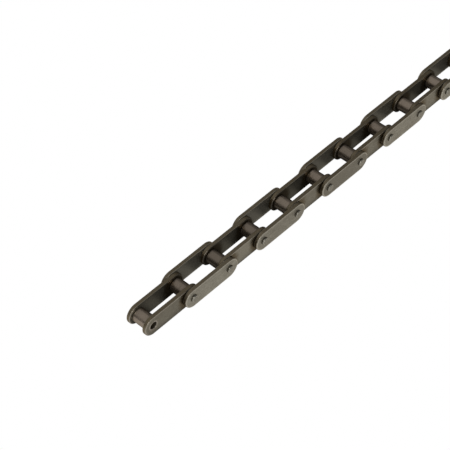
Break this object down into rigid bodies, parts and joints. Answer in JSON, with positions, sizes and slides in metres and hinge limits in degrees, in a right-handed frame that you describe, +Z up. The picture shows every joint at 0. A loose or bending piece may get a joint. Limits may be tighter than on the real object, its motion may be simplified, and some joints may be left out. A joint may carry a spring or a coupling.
{
  "type": "roller chain",
  "caption": "Straight length of double-pitch roller chain with straight side plates, riveted pins and free rollers; every joint articulates.",
  "frame": {"origin": "bottom centre of the whole straight length, on the surface the plates' lower edges rest on", "axes": "+X along the chain from its open near end, +Y along the pins away from the viewer, +Z up across the plates' height"},
  "size_m": [0.4364, 0.0292, 0.0172],
  "materials": {
    "inner_plate": "dark oily rolled steel, slightly rough, with thin brighter edges",
    "outer_plate": "dark oily rolled steel, slightly rough, with thin brighter edges",
    "bush": "smooth oiled case-hardened steel",
    "roller": "smooth turned steel under an oil film",
    "pin": "ground steel with riveted ends"
  },
  "bodies": {
    "link_01": {"link_01_inner_plate_near": "inner_plate", "link_01_inner_plate_far": "inner_plate", "bush_01": "bush", "bush_02": "bush"},
    "link_02": {"link_02_outer_plate_near": "outer_plate", "link_02_outer_plate_far": "outer_plate", "pin_02": "pin", "pin_03": "pin"},
    "link_03": {"link_03_inner_plate_near": "inner_plate", "link_03_inner_plate_far": "inner_plate", "bush_03": "bush", "bush_04": "bush"},
    "link_04": {"link_04_outer_plate_near": "outer_plate", "link_04_outer_plate_far": "outer_plate", "pin_04": "pin", "pin_05": "pin"},
    "link_05": {"link_05_inner_plate_near": "inner_plate", "link_05_inner_plate_far": "inner_plate", "bush_05": "bush", "bush_06": "bush"},
    "link_06": {"link_06_outer_plate_near": "outer_plate", "link_06_outer_plate_far": "outer_plate", "pin_06": "pin", "pin_07": "pin"},
    "link_07": {"link_07_inner_plate_near": "inner_plate", "link_07_inner_plate_far": "inner_plate", "bush_07": "bush", "bush_08": "bush"},
    "link_08": {"link_08_outer_plate_near": "outer_plate", "link_08_outer_plate_far": "outer_plate", "pin_08": "pin", "pin_09": "pin"},
    "link_09": {"link_09_inner_plate_near": "inner_plate", "link_09_inner_plate_far": "inner_plate", "bush_09": "bush", "bush_10": "bush"},
    "link_10": {"link_10_outer_plate_near": "outer_plate", "link_10_outer_plate_far": "outer_plate", "pin_10": "pin", "pin_11": "pin"},
    "link_11": {"link_11_inner_plate_near": "inner_plate", "link_11_inner_plate_far": "inner_plate", "bush_11": "bush", "bush_12": "bush"},
    "roller_01": {"roller_01": "roller"},
    "roller_02": {"roller_02": "roller"},
    "roller_03": {"roller_03": "roller"},
    "roller_04": {"roller_04": "roller"},
    "roller_05": {"roller_05": "roller"},
    "roller_06": {"roller_06": "roller"},
    "roller_07": {"roller_07": "roller"},
    "roller_08": {"roller_08": "roller"},
    "roller_09": {"roller_09": "roller"},
    "roller_10": {"roller_10": "roller"},
    "roller_11": {"roller_11": "roller"},
    "roller_12": {"roller_12": "roller"}
  },
  "joints": [
    {"name": "link_hinge_02", "type": "hinge", "parent": "link_02", "child": "link_01", "pos_m": [-0.17145, 0, 0.0086], "axis": [0, 1, 0], "range_deg": [-150, 150]},
    {"name": "link_hinge_03", "type": "hinge", "parent": "link_03", "child": "link_02", "pos_m": [-0.13335, 0, 0.0086], "axis": [0, -1, 0], "range_deg": [-150, 150]},
    {"name": "link_hinge_04", "type": "hinge", "parent": "link_04", "child": "link_03", "pos_m": [-0.09525, 0, 0.0086], "axis": [0, 1, 0], "range_deg": [-150, 150]},
    {"name": "link_hinge_05", "type": "hinge", "parent": "link_05", "child": "link_04", "pos_m": [-0.05715, 0, 0.0086], "axis": [0, -1, 0], "range_deg": [-150, 150]},
    {"name": "link_hinge_06", "type": "hinge", "parent": "link_06", "child": "link_05", "pos_m": [-0.01905, 0, 0.0086], "axis": [0, 1, 0], "range_deg": [-150, 150]},
    {"name": "link_hinge_07", "type": "hinge", "parent": "link_06", "child": "link_07", "pos_m": [0.01905, 0, 0.0086], "axis": [0, 1, 0], "range_deg": [-150, 150]},
    {"name": "link_hinge_08", "type": "hinge", "parent": "link_07", "child": "link_08", "pos_m": [0.05715, 0, 0.0086], "axis": [0, -1, 0], "range_deg": [-150, 150]},
    {"name": "link_hinge_09", "type": "hinge", "parent": "link_08", "child": "link_09", "pos_m": [0.09525, 0, 0.0086], "axis": [0, 1, 0], "range_deg": [-150, 150]},
    {"name": "link_hinge_10", "type": "hinge", "parent": "link_09", "child": "link_10", "pos_m": [0.13335, 0, 0.0086], "axis": [0, -1, 0], "range_deg": [-150, 150]},
    {"name": "link_hinge_11", "type": "hinge", "parent": "link_10", "child": "link_11", "pos_m": [0.17145, 0, 0.0086], "axis": [0, 1, 0], "range_deg": [-150, 150]},
    {"name": "roller_spin_01", "type": "hinge", "parent": "link_01", "child": "roller_01", "pos_m": [-0.20955, 0, 0.0086], "axis": [0, 1, 0], "continuous": true},
    {"name": "roller_spin_02", "type": "hinge", "parent": "link_01", "child": "roller_02", "pos_m": [-0.17145, 0, 0.0086], "axis": [0, 1, 0], "continuous": true},
    {"name": "roller_spin_03", "type": "hinge", "parent": "link_03", "child": "roller_03", "pos_m": [-0.13335, 0, 0.0086], "axis": [0, 1, 0], "continuous": true},
    {"name": "roller_spin_04", "type": "hinge", "parent": "link_03", "child": "roller_04", "pos_m": [-0.09525, 0, 0.0086], "axis": [0, 1, 0], "continuous": true},
    {"name": "roller_spin_05", "type": "hinge", "parent": "link_05", "child": "roller_05", "pos_m": [-0.05715, 0, 0.0086], "axis": [0, 1, 0], "continuous": true},
    {"name": "roller_spin_06", "type": "hinge", "parent": "link_05", "child": "roller_06", "pos_m": [-0.01905, 0, 0.0086], "axis": [0, 1, 0], "continuous": true},
    {"name": "roller_spin_07", "type": "hinge", "parent": "link_07", "child": "roller_07", "pos_m": [0.01905, 0, 0.0086], "axis": [0, 1, 0], "continuous": true},
    {"name": "roller_spin_08", "type": "hinge", "parent": "link_07", "child": "roller_08", "pos_m": [0.05715, 0, 0.0086], "axis": [0, 1, 0], "continuous": true},
    {"name": "roller_spin_09", "type": "hinge", "parent": "link_09", "child": "roller_09", "pos_m": [0.09525, 0, 0.0086], "axis": [0, 1, 0], "continuous": true},
    {"name": "roller_spin_10", "type": "hinge", "parent": "link_09", "child": "roller_10", "pos_m": [0.13335, 0, 0.0086], "axis": [0, 1, 0], "continuous": true},
    {"name": "roller_spin_11", "type": "hinge", "parent": "link_11", "child": "roller_11", "pos_m": [0.17145, 0, 0.0086], "axis": [0, 1, 0], "continuous": true},
    {"name": "roller_spin_12", "type": "hinge", "parent": "link_11", "child": "roller_12", "pos_m": [0.20955, 0, 0.0086], "axis": [0, 1, 0], "continuous": true}
  ]
}
